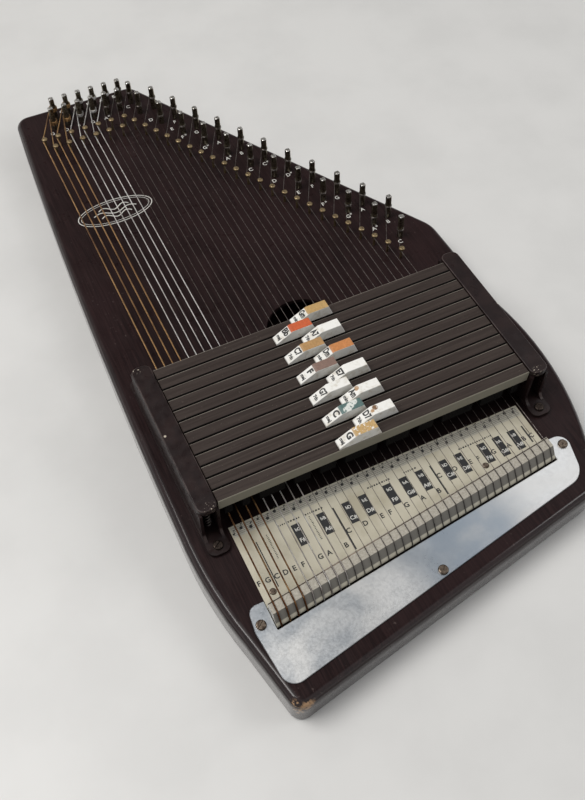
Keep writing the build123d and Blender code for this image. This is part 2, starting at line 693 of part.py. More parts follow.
for bar, (chord, tones, column) in enumerate(CHORDS):
    centre_y = bar_centre_y(bar)
    with BuildPart() as chord_bar:
        with BuildSketch(Plane.XY.offset(BAR_TOP - BAR_HEIGHT)):
            with Locations(((BAR_LEFT + BAR_RIGHT) / 2, centre_y)):
                Rectangle(BAR_RIGHT - BAR_LEFT, BAR_WIDTH)
        extrude(amount=BAR_HEIGHT)
        chamfer(chord_bar.edges().group_by(Axis.Z)[-1], 0.4)
        with BuildSketch(Plane.XY.offset(BAR_TOP - BAR_HEIGHT)):
            with Locations(((BAR_LEFT + BAR_RIGHT) / 2, centre_y)):
                Rectangle(BAR_RIGHT - BAR_LEFT + 2 * TONGUE_LENGTH, TONGUE_WIDTH)
        extrude(amount=TONGUE_HEIGHT)
    finish(chord_bar, f"chord_bar_{bar + 1:02d}_{chord}")

    with BuildPart() as chord_button:
        button_x = BUTTON_LEFT_X if column == "left" else BUTTON_RIGHT_X
        side_y = centre_y - BUTTON_SETBACK + BUTTON_WIDTH / 2
        with BuildSketch(Plane(origin=(button_x, side_y, BAR_TOP), x_dir=(1, 0, 0), z_dir=(0, -1, 0))):
            Polygon(
                (0, 0),
                (BUTTON_LENGTH, 0),
                (BUTTON_SHELF_END, BUTTON_HEIGHT),
                (BUTTON_FOLD, BUTTON_HEIGHT),
                (0, BUTTON_LIP),
                align=None,
            )
        extrude(amount=BUTTON_WIDTH)
        upper_edges = chord_button.edges().filter_by(lambda edge: edge.center().Z > BAR_TOP + BUTTON_LIP / 2)
        fillet(upper_edges, 0.45)
    finish(chord_button, f"chord_button_{bar + 1:02d}_{chord}")

    with BuildPart() as chord_felt:
        with BuildSketch(Plane.XY.offset(BAR_TOP - BAR_HEIGHT)):
            for first, last in damped_runs(tones.split()):
                with Locations(((string_x(first) + string_x(last)) / 2, centre_y)):
                    Rectangle(string_x(last) - string_x(first) + 2 * FELT_MARGIN, FELT_WIDTH)
        extrude(amount=-FELT_HEIGHT)
    finish(chord_felt, f"chord_felt_{bar + 1:02d}_{chord}")
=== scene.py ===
import math
import random

import bmesh
import bpy
from mathutils import Matrix, Vector


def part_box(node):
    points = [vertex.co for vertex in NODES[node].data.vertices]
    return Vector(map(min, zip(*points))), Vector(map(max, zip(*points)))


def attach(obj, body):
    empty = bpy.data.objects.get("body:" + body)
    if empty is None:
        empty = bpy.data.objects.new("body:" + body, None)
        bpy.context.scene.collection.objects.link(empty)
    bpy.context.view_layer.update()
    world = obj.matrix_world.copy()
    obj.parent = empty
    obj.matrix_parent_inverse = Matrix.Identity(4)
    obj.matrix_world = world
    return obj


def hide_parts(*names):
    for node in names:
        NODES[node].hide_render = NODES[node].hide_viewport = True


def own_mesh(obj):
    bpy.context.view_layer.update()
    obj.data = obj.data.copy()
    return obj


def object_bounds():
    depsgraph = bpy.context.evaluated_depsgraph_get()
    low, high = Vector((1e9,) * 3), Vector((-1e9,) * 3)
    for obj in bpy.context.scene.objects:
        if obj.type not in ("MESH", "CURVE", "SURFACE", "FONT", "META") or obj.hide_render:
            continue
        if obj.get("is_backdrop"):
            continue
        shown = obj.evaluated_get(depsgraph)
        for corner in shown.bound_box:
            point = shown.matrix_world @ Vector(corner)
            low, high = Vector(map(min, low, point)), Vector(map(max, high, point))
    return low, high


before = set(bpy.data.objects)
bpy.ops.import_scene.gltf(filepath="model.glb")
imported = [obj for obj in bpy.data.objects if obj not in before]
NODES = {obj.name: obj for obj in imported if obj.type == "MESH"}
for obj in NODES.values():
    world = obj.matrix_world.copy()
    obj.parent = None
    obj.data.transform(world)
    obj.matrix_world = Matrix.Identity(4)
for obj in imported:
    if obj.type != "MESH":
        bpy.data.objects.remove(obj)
cad_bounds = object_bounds()
MM = 0.001
SURFACE = 29.0  # height of the soundboard's surface over the floor, in millimetres
BAR_TOP = 62.2
BAR_REAR = -52.25
BAR_PITCH = 9.26
BUTTON_HEIGHT = 8.8
BUTTON_LIP = 1.4  # height of a button's low end
BUTTON_FOLD = 12.2  # length of a button's slope
BODY = "sound_box"


# ---------------------------------------------------------------- material helpers
SOCKETS = {
    "color": "Base Color",
    "metallic": "Metallic",
    "rough": "Roughness",
    "specular": "Specular IOR Level",
    "coat": "Coat Weight",
    "coat_rough": "Coat Roughness",
    "coat_ior": "Coat IOR",
    "normal": "Normal",
}


def material(name, **sockets):
    """A Principled material; sockets go by the short names above."""
    made = bpy.data.materials.new(name)
    made.use_nodes = True
    shader = made.node_tree.nodes["Principled BSDF"]
    for key, value in sockets.items():
        shader.inputs[SOCKETS[key]].default_value = (*value, 1.0) if isinstance(value, tuple) else value
    return made


def node(mat, kind, inputs=None, **attributes):
    """Adds a shader node; inputs may be values or output sockets."""
    made = mat.node_tree.nodes.new("ShaderNode" + kind)
    for key, value in attributes.items():
        setattr(made, key, value)
    for key, value in (inputs or {}).items():
        if isinstance(value, bpy.types.NodeSocket):
            mat.node_tree.links.new(value, made.inputs[key])
        else:
            made.inputs[key].default_value = value
    return made


def drive(mat, key, socket):
    """Links a socket to one of the shader's inputs."""
    shader = mat.node_tree.nodes["Principled BSDF"]
    mat.node_tree.links.new(socket, shader.inputs[SOCKETS[key]])


def place(mat, scale=(1, 1, 1)):
    """The object's own coordinates, in metres, stretched."""
    coordinates = node(mat, "TexCoord").outputs["Object"]
    return node(mat, "Mapping", {"Vector": coordinates, "Scale": scale}).outputs["Vector"]


def noise(mat, scale, detail=4.0, where=None, rough=0.55, distortion=0.0):
    """A cloud pattern between 0 and 1."""
    where = where or place(mat)
    inputs = {"Vector": where, "Scale": scale, "Detail": detail, "Roughness": rough}
    inputs["Distortion"] = distortion
    return node(mat, "TexNoise", inputs).outputs["Fac"]


def spread(mat, value, low, high, to_low=0.0, to_high=1.0):
    """Maps a range of values smoothly on to another."""
    inputs = {"Value": value, "From Min": low, "From Max": high, "To Min": to_low, "To Max": to_high}
    return node(mat, "MapRange", inputs, interpolation_type="SMOOTHSTEP").outputs["Result"]


def calc(mat, operation, a, b=0.0):
    """One step of arithmetic."""
    return node(mat, "Math", {0: a, 1: b}, operation=operation).outputs[0]


def times(mat, a, b):
    """Two masks or values multiplied."""
    return calc(mat, "MULTIPLY", a, b)


def flecks(mat, scale, detail, low, high, to_low=0.0, to_high=1.0):
    """A cloud pattern with its contrast raised between two levels."""
    return spread(mat, noise(mat, scale, detail), low, high, to_low, to_high)


def blend_colors(mat, factor, a, b):
    """Mixes two colours by a factor."""
    a = (*a, 1.0) if isinstance(a, tuple) else a
    b = (*b, 1.0) if isinstance(b, tuple) else b
    made = node(mat, "Mix", data_type="RGBA")
    for index, value in ((0, factor), (6, a), (7, b)):
        if isinstance(value, bpy.types.NodeSocket):
            mat.node_tree.links.new(value, made.inputs[index])
        else:
            made.inputs[index].default_value = value
    return made.outputs[2]


def bump(mat, height, depth_mm, strength=1.0):
    """Raises the surface by a pattern, with its depth in millimetres."""
    inputs = {"Height": height, "Distance": depth_mm * MM, "Strength": strength}
    drive(mat, "normal", node(mat, "Bump", inputs).outputs["Normal"])


def near(mat, point_mm, reach_mm, falloff_mm):
    """1 near a point of the object, 0 away from it."""
    point = Vector(point_mm) * MM
    inputs = {0: place(mat), 1: point}
    distance = node(mat, "VectorMath", inputs, operation="DISTANCE").outputs["Value"]
    return spread(mat, distance, reach_mm * MM, (reach_mm + falloff_mm) * MM, 1.0, 0.0)


def above(mat, axis, low_mm, high_mm):
    """0 below a level along one axis of the object, rising to 1 above it."""
    parts = node(mat, "SeparateXYZ", {0: place(mat)}).outputs
    return spread(mat, parts[axis], low_mm * MM, high_mm * MM)


def facing(mat, axis):
    """How much the surface faces along one axis."""
    normal = node(mat, "TexCoord").outputs["Normal"]
    return node(mat, "SeparateXYZ", {0: normal}).outputs[axis]


# ---------------------------------------------------------------- materials
# chips at the tail corner: point in mm, reach in mm, scale of the flakes, share left unchipped
TAIL_CHIPS = (
    ((-121, -287, 24), 3.4, 330, 0.44),
    ((-127, -286, 17), 4.0, 420, 0.52),
    ((-129, -284, 26), 3.0, 520, 0.53),
)


def stained_wood():
    mat = material("Stained wood", rough=0.36, specular=0.09, coat_rough=0.13, coat_ior=1.6)
    streaks = noise(mat, 900, 6, place(mat, (1, 0.035, 1)), 0.65)
    pores = noise(mat, 2600, 3, place(mat, (1, 0.02, 1)), 0.6)
    clouds = noise(mat, 14, 3)
    dark, light = (0.0105, 0.0058, 0.0060), (0.024, 0.0130, 0.0128)
    wood = blend_colors(mat, spread(mat, streaks, 0.38, 0.68), dark, light)
    wood = blend_colors(mat, spread(mat, clouds, 0.35, 0.75, 0.0, 0.45), wood, (0.025, 0.0125, 0.0130))
    wood = blend_colors(mat, spread(mat, pores, 0.62, 0.78, 0.0, 0.6), wood, (0.008, 0.005, 0.005))
    scuffs = times(mat, flecks(mat, 420, 5, 0.64, 0.70), flecks(mat, 30, 2, 0.5, 0.62))
    wood = blend_colors(mat, times(mat, scuffs, 0.35), wood, (0.13, 0.10, 0.09))
    # darker under the chord bars, to deepen the shade there
    behind_bars = calc(mat, "SUBTRACT", 1.0, above(mat, 1, -72, -58))
    painted_shade_under_bars = times(mat, above(mat, 1, -184, -168), behind_bars)
    across = node(mat, "SeparateXYZ", {0: place(mat)}).outputs[0]
    painted_shade_under_bars = times(mat, painted_shade_under_bars, spread(mat, calc(mat, "ABSOLUTE", across), 0.120, 0.114))
    wood = blend_colors(mat, times(mat, painted_shade_under_bars, 0.6), wood, (0.003, 0.002, 0.002))
    chip = 0.0
    for point, reach, scale, share in TAIL_CHIPS:
        flakes = flecks(mat, scale, 4, share, share + 0.05)
        chip = calc(mat, "MAXIMUM", chip, times(mat, near(mat, point, reach, 3.0), flakes))
    wood = blend_colors(mat, chip, wood, (0.36, 0.22, 0.12))
    # the polish shines on the walls and on the rounded rim
    wall = times(mat, spread(mat, facing(mat, 2), 0.45, 0.12), above(mat, 2, 23, 15))
    rim = times(
        mat,
        spread(mat, facing(mat, 2), 0.98, 0.9),
        spread(mat, facing(mat, 2), 0.4, 0.6, 0.0, 0.75),
    )
    shine = times(mat, wall, spread(mat, streaks, 0.3, 0.75, 1.0, 0.75))
    drive(mat, "coat", calc(mat, "MAXIMUM", shine, times(mat, rim, above(mat, 2, 20, 24))))
    drive(mat, "color", wood)
    drive(mat, "rough", flecks(mat, 60, 5, 0.3, 0.75, 0.26, 0.42))
    bump(mat, calc(mat, "ADD", streaks, times(mat, pores, 0.6)), 0.05, 0.5)
    return mat


def raw_wood():
    mat = material("Raw wood", rough=0.7)
    rings = noise(mat, 300, 5, place(mat, (0.05, 1, 1)))
    tone = blend_colors(mat, spread(mat, rings, 0.35, 0.7), (0.42, 0.28, 0.15), (0.56, 0.40, 0.23))
    drive(mat, "color", tone)
    bump(mat, rings, 0.1, 0.4)
    return mat


def metal(name, color, tarnish, rough, scale=500):
    """Polished metal with patches of tarnish."""
    mat = material(name, metallic=1.0, rough=rough)
    patches = noise(mat, scale, 5)
    drive(mat, "color", blend_colors(mat, spread(mat, patches, 0.47, 0.65), color, tarnish))
    drive(mat, "rough", flecks(mat, scale * 2, 3, 0.3, 0.7, rough * 0.75, min(1.0, rough * 1.6)))
    bump(mat, patches, 0.03, 0.35)
    return mat


def tuning_steel():
    mat = material("Blued tuning steel", metallic=1.0, rough=0.3)
    top = above(mat, 2, SURFACE + 19.6, SURFACE + 20.4)  # the bright ends
    dark = flecks(mat, 700, 4, 0.4, 0.65)
    dark = blend_colors(mat, dark, (0.30, 0.27, 0.20), (0.12, 0.10, 0.075))
    end_tone = flecks(mat, 900, 4, 0.42, 0.62)
    end_tone = blend_colors(mat, end_tone, (0.66, 0.65, 0.62), (0.22, 0.20, 0.17))
    drive(mat, "color", blend_colors(mat, top, dark, end_tone))
    bump(mat, noise(mat, 1200, 3), 0.03, 0.4)
    return mat


def wound(name, color, dark, rust):
    """Fine wire wound round a core along Y, rusty near the tail."""
    mat = material(name, metallic=1.0, rough=0.34)
    inputs = {"Vector": place(mat), "Scale": 900.0}
    wave = node(mat, "TexWave", inputs, wave_type="BANDS", bands_direction="Y").outputs["Fac"]
    patches = noise(mat, 120, 5, place(mat, (1, 0.2, 1)))
    clean = blend_colors(mat, spread(mat, patches, 0.42, 0.7), color, dark)
    aged = times(mat, above(mat, 1, -140, -180), flecks(mat, 90, 4, 0.3, 0.55))
    drive(mat, "color", blend_colors(mat, times(mat, aged, rust), clean, (0.115, 0.048, 0.022)))
    bump(mat, wave, 0.12, 0.6)
    return mat


def brushed_plate():
    mat = material("Clouded aluminium", metallic=1.0, rough=0.3)
    clouds = noise(mat, 16, 4, place(mat, (1, 1.4, 1)), 0.55, 0.6)
    grit = noise(mat, 650, 4)
    tone = blend_colors(mat, spread(mat, clouds, 0.36, 0.66), (0.44, 0.47, 0.50), (0.64, 0.64, 0.63))
    # painted reflection: a darker bluish patch round the middle of the plate
    shade = flecks(mat, 45, 4, 0.35, 0.6, 0.35, 0.8)
    shade = times(mat, near(mat, (14, -238, 30), 16, 38), shade)
    tone = blend_colors(mat, shade, tone, (0.33, 0.385, 0.45))
    # painted reflection: bright patches at the right end and in the left third of the plate
    reflection_right_end, reflection_left_third = near(mat, (88, -222, 30), 16, 34), near(mat, (-38, -252, 30), 4, 22)
    bright = calc(mat, "MAXIMUM", reflection_right_end, reflection_left_third)
    tone = blend_colors(mat, times(mat, bright, 0.6), tone, (0.88, 0.875, 0.86))
    pits = times(mat, flecks(mat, 800, 3, 0.66, 0.72), flecks(mat, 40, 2, 0.5, 0.7))
    tone = blend_colors(mat, times(mat, pits, 0.5), tone, (0.20, 0.19, 0.18))
    drive(mat, "color", tone)
    haze = spread(mat, clouds, 0.36, 0.68, 0.27, 0.36)
    drive(mat, "rough", calc(mat, "ADD", haze, spread(mat, grit, 0.3, 0.7, 0.0, 0.08)))
    bump(mat, calc(mat, "ADD", grit, times(mat, clouds, 3.0)), 0.03, 0.4)
    return mat


CAP_NICKS = ((-133.0, -105.3, 62.6), (117.4, -103.3, 62.6))
CAP_SCUFFS = ((-127, -165, 62.5), (109, -165, 62.5), (-131, -47, 62.5))


def brown_plastic():
    mat = material("Brown plastic", rough=0.3, specular=0.2)
    mottle = noise(mat, 90, 4)
    dark, light = (0.011, 0.006, 0.006), (0.019, 0.0105, 0.0098)
    tone = blend_colors(mat, spread(mat, mottle, 0.35, 0.7), dark, light)
    dust = times(mat, flecks(mat, 1500, 3, 0.66, 0.72), 0.25)
    tone = blend_colors(mat, dust, tone, (0.16, 0.14, 0.12))
    nicks = 0.0
    for point in CAP_NICKS:
        nicks = calc(mat, "MAXIMUM", nicks, near(mat, point, 0.5, 0.6))
    for point in CAP_SCUFFS:
        scuff = times(mat, near(mat, point, 2.5, 3.0), flecks(mat, 800, 4, 0.58, 0.66))
        nicks = calc(mat, "MAXIMUM", nicks, scuff)
    # painted highlight: lighter along the rounded edges
    painted_rim_highlight = times(
        mat,
        spread(mat, facing(mat, 2), 0.97, 0.9),
        spread(mat, facing(mat, 2), 0.3, 0.5, 0.0, 0.6),
    )
    painted_rim_highlight = times(mat, painted_rim_highlight, spread(mat, mottle, 0.3, 0.6))
    tone = blend_colors(mat, painted_rim_highlight, tone, (0.10, 0.075, 0.07))
    drive(mat, "color", blend_colors(mat, nicks, tone, (0.48, 0.42, 0.34)))
    drive(mat, "rough", flecks(mat, 160, 4, 0.3, 0.7, 0.26, 0.46))
    bump(mat, noise(mat, 1400, 3), 0.04, 0.35)
    return mat


def bar_wood(front_tone, gap_shade=1.0):
    """Dark lacquer with a painted highlight along the rear edge, front faces in front_tone, and a painted
    shade along the front edge as strong as the last argument.
    """
    mat = material("Bar lacquer", rough=0.5, specular=0.12)
    grain = noise(mat, 700, 6, place(mat, (0.03, 1, 1)), 0.6)
    streaks = noise(mat, 2400, 3, place(mat, (0.015, 1, 1)), 0.6)
    dark, light = (0.032, 0.0235, 0.0205), (0.048, 0.0365, 0.0315)
    tone = blend_colors(mat, spread(mat, grain, 0.35, 0.68), dark, light)
    tone = blend_colors(mat, spread(mat, streaks, 0.60, 0.76, 0.0, 0.5), tone, (0.020, 0.016, 0.014))
    # front faces take front_tone, which is near black as painted shade on the bars behind the front one
    front = spread(mat, facing(mat, 1), -0.3, -0.8)
    tone = blend_colors(mat, times(mat, front, 0.9), tone, front_tone)
    y = node(mat, "SeparateXYZ", {0: place(mat)}).outputs[1]
    steps = calc(mat, "DIVIDE", calc(mat, "SUBTRACT", BAR_REAR * MM, y), BAR_PITCH * MM)
    part = calc(mat, "FRACT", steps)  # from 0 at a bar's rear edge towards 1 at the next bar
    upward = spread(mat, facing(mat, 2), 0.3, 0.5)
    # painted highlight: a light line along each bar's rear top edge
    painted_rear_highlight = times(mat, spread(mat, part, 0.125, 0.09), upward)
    painted_rear_highlight = times(mat, painted_rear_highlight, spread(mat, streaks, 0.4, 0.62, 1.0, 0.45))
    tone = blend_colors(mat, painted_rear_highlight, tone, (0.26, 0.235, 0.20))
    # painted shade: a dark line along each bar's front top edge, for the shaded space between bars
    painted_gap_shade = times(mat, spread(mat, part, 0.89, 0.92), upward)
    tone = blend_colors(mat, times(mat, painted_gap_shade, gap_shade), tone, (0.004, 0.003, 0.003))
    dots = times(mat, flecks(mat, 1100, 2, 0.72, 0.76), 0.5)
    drive(mat, "color", blend_colors(mat, dots, tone, (0.25, 0.22, 0.18)))
    drive(mat, "rough", spread(mat, grain, 0.3, 0.7, 0.42, 0.58))
    bump(mat, grain, 0.06, 0.35)
    return mat


def felt():
    # painted shade: the felt is coloured near black for the shade under the bars
    mat = material("Felt in painted shade", rough=0.95, specular=0.1)
    fibres = noise(mat, 2200, 5, None, 0.7, 1.5)
    dark, light = (0.0035, 0.003, 0.003), (0.009, 0.008, 0.0075)
    drive(mat, "color", blend_colors(mat, spread(mat, fibres, 0.35, 0.7), dark, light))
    bump(mat, fibres, 0.5, 0.8)
    return mat


def paper():
    mat = material("Aged paper", rough=0.62)
    stains = noise(mat, 45, 5)
    fibres = noise(mat, 1800, 4)
    tone = blend_colors(mat, spread(mat, stains, 0.42, 0.75), (0.51, 0.475, 0.375), (0.38, 0.345, 0.255))
    tone = blend_colors(mat, spread(mat, fibres, 0.5, 0.75, 0.0, 0.25), tone, (0.42, 0.38, 0.30))
    drive(mat, "color", tone)
    bump(mat, fibres, 0.04, 0.4)
    return mat


def bridge_grey():
    mat = material("Grey bridge block", rough=0.5)
    grain = noise(mat, 800, 5)
    # painted shade: the upper front face is dark; a cream strip runs along its foot
    front = spread(mat, facing(mat, 1), -0.15, -0.35)
    low = calc(mat, "SUBTRACT", 1.0, above(mat, 2, SURFACE + 2.4, SURFACE + 3.0))
    top = blend_colors(mat, spread(mat, grain, 0.35, 0.7), (0.31, 0.285, 0.235), (0.42, 0.39, 0.33))
    face = blend_colors(mat, low, (0.16, 0.15, 0.13), (0.48, 0.45, 0.36))
    drive(mat, "color", blend_colors(mat, front, top, face))
    bump(mat, grain, 0.06, 0.4)
    return mat


def plain(name, color, rough, variation, scale):
    """A plain colour with fine variation in tone and height."""
    mat = material(name, rough=rough)
    pattern = noise(mat, scale, 4)
    darker = tuple(channel * (1 - variation) for channel in color)
    drive(mat, "color", blend_colors(mat, spread(mat, pattern, 0.35, 0.7), color, darker))
    bump(mat, noise(mat, scale * 4, 3), 0.03, 0.3)
    return mat


def worn_print(name, color, under, share):
    """Printed ink that has flaked off in places."""
    mat = material(name, rough=0.5)
    flakes = flecks(mat, 900, 5, 0.72 - share, 0.76 - share)
    drive(mat, "color", blend_colors(mat, flakes, color, under))
    bump(mat, noise(mat, 900, 3), 0.02, 0.3)
    return mat


def button_plastic(name, ink, wear, patches=()):
    """White plastic with a coloured top; more wear flakes more of the ink off."""
    mat = material(name, rough=0.36, specular=0.5)
    dirt = noise(mat, 260, 5)
    white = blend_colors(mat, spread(mat, dirt, 0.45, 0.75), (0.80, 0.79, 0.75), (0.60, 0.56, 0.48))
    tone = white
    if ink:
        top = above(mat, 2, BAR_TOP + BUTTON_HEIGHT - 1.0, BAR_TOP + BUTTON_HEIGHT - 0.6)
        top = times(mat, top, spread(mat, facing(mat, 2), 0.55, 0.7))
        flaked = spread(mat, noise(mat, 420, 6, None, 0.62, 0.8), 0.70 - wear, 0.72 - wear)
        kept = calc(mat, "SUBTRACT", 1.0, flaked)
        darker = tuple(channel * 0.8 for channel in ink)
        shade = blend_colors(mat, flecks(mat, 700, 3, 0.3, 0.7), ink, darker)
        tone = blend_colors(mat, times(mat, top, kept), white, shade)
    for point, reach, color in patches:
        spot = times(mat, near(mat, point, reach, 0.7), flecks(mat, 520, 4, 0.36, 0.46))
        tone = blend_colors(mat, spot, tone, color)
    drive(mat, "color", tone)
    bump(mat, noise(mat, 1500, 3), 0.03, 0.3)
    return mat


NICKEL = metal("Nickel screws", (0.17, 0.135, 0.105), (0.06, 0.042, 0.032), 0.34)
BRASS = metal("Brass pins", (0.34, 0.26, 0.15), (0.13, 0.085, 0.045), 0.4, 700)
STEEL = metal("String steel", (0.20, 0.18, 0.165), (0.08, 0.065, 0.055), 0.36, 300)
WOOD = stained_wood()
PLASTIC = brown_plastic()
# painted shade: the bars behind the front one get near-black front faces and a dark front edge; the front
# bar keeps its khaki front face
GAP_SHADED_BAR_LACQUER = bar_wood((0.002, 0.0015, 0.001))
FRONT_BAR_LACQUER = bar_wood((0.25, 0.235, 0.185), 0.0)
DARK_SCREW = metal("Dark screws", (0.05, 0.038, 0.032), (0.022, 0.017, 0.015), 0.4)
FELT = felt()
WHITE_INK = worn_print("White lettering", (0.62, 0.61, 0.57), (0.12, 0.09, 0.08), 0.02)
# the black print material also draws the painted shade strips on the bridge block
BLACK_PRINT_AND_SHADOW = worn_print("Black print and painted shadow", (0.012, 0.012, 0.013), (0.36, 0.34, 0.29), 0.01)
LABEL_INK = worn_print("Label ink", (0.015, 0.015, 0.015), (0.30, 0.29, 0.26), -0.05)
GREY_INK = worn_print("Grey print", (0.37, 0.355, 0.30), (0.48, 0.455, 0.375), 0.14)


def paint(name, mat):
    """Gives a CAD node its material."""
    mesh = NODES[name].data
    mesh.materials.clear()
    mesh.materials.append(mat)


def smooth(obj, angle=40):
    """Smooth shading except across sharp edges."""
    limit = math.radians(angle)
    model = bmesh.new()
    model.from_mesh(obj.data)
    for edge in model.edges:
        edge.smooth = len(edge.link_faces) == 2 and edge.calc_face_angle() < limit
    for face in model.faces:
        face.smooth = True
    model.to_mesh(obj.data)
    model.free()


# ---------------------------------------------------------------- meshes
def mesh_object(name, model, mat, body=BODY):
    """Makes an object that rides on a body from a bmesh built in millimetres."""
    bmesh.ops.scale(model, vec=(MM, MM, MM), verts=model.verts)
    mesh = bpy.data.meshes.new(name)
    model.to_mesh(mesh)
    model.free()
    mesh.materials.append(mat)
    obj = bpy.data.objects.new(name, mesh)
    bpy.context.scene.collection.objects.link(obj)
    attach(obj, body)
    return obj


def tube(model, points, radius, sides=8):
    """Adds a closed tube along a line of points."""
    rings = []
    side = None
    for index, point in enumerate(points):
        ahead = points[min(index + 1, len(points) - 1)]
        behind = points[max(index - 1, 0)]
        along = (ahead - behind).normalized()
        if side is None:
            side = along.orthogonal().normalized()
        side = (side - along * side.dot(along)).normalized()
        across = along.cross(side)
        ring = []
        for k in range(sides):
            turn = 2 * math.pi * k / sides
            outward = side * math.cos(turn) + across * math.sin(turn)
            ring.append(model.verts.new(point + outward * radius))
        rings.append(ring)
    for first, second in zip(rings, rings[1:]):
        for k in range(sides):
            face = model.faces.new((first[k], first[(k + 1) % sides], second[(k + 1) % sides], second[k]))
            face.smooth = True
    model.faces.new(reversed(rings[0]))
    model.faces.new(rings[-1])


def lettering(model, text, size, matrix, bold=0.0, widest=99.0):
    """Adds flat letters, centred on a matrix in millimetres, squeezed to a widest line."""
    curve = bpy.data.curves.new("letters", "FONT")
    curve.body, curve.size, curve.offset = text, size, bold
    curve.align_x, curve.align_y = "CENTER", "CENTER"
    curve.resolution_u = 3
    holder = bpy.data.objects.new("letters", curve)
    flat = bpy.data.meshes.new_from_object(holder)
    across = [vertex.co.x for vertex in flat.vertices]
    squeeze = Matrix.Scale(min(1.0, widest / (max(across) - min(across))), 4, (1, 0, 0))
    made = [model.verts.new(matrix @ squeeze @ vertex.co) for vertex in flat.vertices]
    for polygon in flat.polygons:
        model.faces.new([made[k] for k in polygon.vertices])
    bpy.data.objects.remove(holder)
    bpy.data.curves.remove(curve)
    bpy.data.meshes.remove(flat)


def patch(model, x0, y0, x1, y1, height):
    """Adds a flat rectangle at a height."""
    corners = [(x0, y0), (x1, y0), (x1, y1), (x0, y1)]
    model.faces.new([model.verts.new((x, y, height)) for x, y in corners])


def at(x, y, z):
    """A place for letters that lie flat and read towards +X."""
    return Matrix.Translation((x, y, z))


# ---------------------------------------------------------------- sound box
for name in ("soundboard", "back_panel", "pin_block", "tail_block", "bass_rail", "treble_rail"):
    paint(name, WOOD)
    smooth(NODES[name])
paint("braces", raw_wood())
paint("note_chart", paper())
paint("anchor_cover", brushed_plate())
paint("bridge_block", bridge_grey())
paint("tuning_pins", tuning_steel())
paint("guide_pins", BRASS)
paint("hitch_pins", STEEL)
for name in ("cover_screws", "chart_tacks"):
    paint(name, NICKEL)
paint("holder_screws", DARK_SCREW)
for name in ("tuning_pins", "guide_pins", "hitch_pins", "cover_screws", "holder_screws", "chart_tacks"):
    smooth(NODES[name])
for name in ("bar_holder_bass", "bar_holder_treble", "holder_cap_bass", "holder_cap_treble"):
    paint(name, PLASTIC)
    smooth(NODES[name], 30)

# ---------------------------------------------------------------- strings
PITCH = 6.0
FIRST_X = -114.8
COUNT = 36
NOTES = "F G C D E F F# G A A# B C C# D D# E F F# G G# A A# B C C# D D# E F F# G G# A A# B C".split()
LEAN = math.radians(4.0)  # of the tuning pins, towards the head
PIN_RADIUS = 2.35
STRING_HEIGHT = 9.0  # over the soundboard
TURNS_ON_PIN = 3.25
STEPS_A_TURN = 14


# the 36 strings are numbered from 0 on the bass side
def string_x(string):
    return FIRST_X + PITCH * string


def string_radius(string):
    """Bronze wound, nickel wound or plain."""
    return 0.55 if string < 4 else 0.42 if string < 9 else 0.22


def bridge_foot(x):
    """Where the bridge block's edge nearest the tail lies."""
    return -237.75 + 0.117 * (x - FIRST_X)


def guide_pin(string):
    """Centre of a string's guide pin, which stands just beside the string."""
    x = string_x(string) + string_radius(string) + 1.05
    if string >= 13:
        return Vector((x, 226.55 - 10.69 * (string - 13)))
    return Vector((x, 223.25 if string % 2 else 235.25))


def tuning_pin(string, rise):
    """Point on a tuning pin's axis, at a rise from the soundboard."""
    place_in_row = string // 2
    back = string % 2 == 0
    if place_in_row < 6:
        x, y = (-94.2, 272.0) if back else (-98.6, 259.6)
        x += 12.0 * place_in_row
    elif place_in_row == 6:
        x, y = (-26.5, 264.4) if back else (-24.3, 247.8)
    else:
        steps = place_in_row - 7
        x = -10.8 + 12.05 * steps if back else -11.8 + 11.94 * steps
        y = 248.7 - 21.16 * steps if back else 227.0 - 21.36 * steps
    return Vector((x, y + (rise - 20.8) * math.sin(LEAN), SURFACE + rise * math.cos(LEAN)))


def string_points(string):
    """A string's centre line: hitch pin, block, guide pin, then three turns round the tuning pin."""
    x, radius = string_x(string), string_radius(string)
    foot = bridge_foot(x)
    pin = guide_pin(string)
    rise = 7.6 if string % 2 else 11.0
    reach = PIN_RADIUS + radius + 0.03
    centre = tuning_pin(string, rise + 1.2)
    bend = math.atan2(centre.x - reach - x, centre.y - pin.y)
    points = [
        Vector((x, foot - 4.6, SURFACE - 3.5)),
        Vector((x, foot - radius - 0.35, SURFACE - 2.0)),
        Vector((x, foot - radius - 0.1, SURFACE + 1.2)),
        Vector((x, foot + 5.0 - radius, SURFACE + 8.3)),
        Vector((x, foot + 5.9, SURFACE + 8.95)),
        Vector((x, foot + 8.0, SURFACE + STRING_HEIGHT)),
        Vector((x, pin.y - 1.0, SURFACE + STRING_HEIGHT)),
        Vector((x + 0.15, pin.y + 0.45, SURFACE + STRING_HEIGHT)),
    ]
    pitch = max(2 * radius, 0.5) * 1.05
    for step in range(int(TURNS_ON_PIN * STEPS_A_TURN) + 1):
        turned = step / STEPS_A_TURN
        angle = math.pi + bend * 0.5 - turned * 2 * math.pi
        centre = tuning_pin(string, rise + 1.2 - pitch * turned)
        points.append(centre + Vector((math.cos(angle) * reach, math.sin(angle) * reach, 0)))
    return points


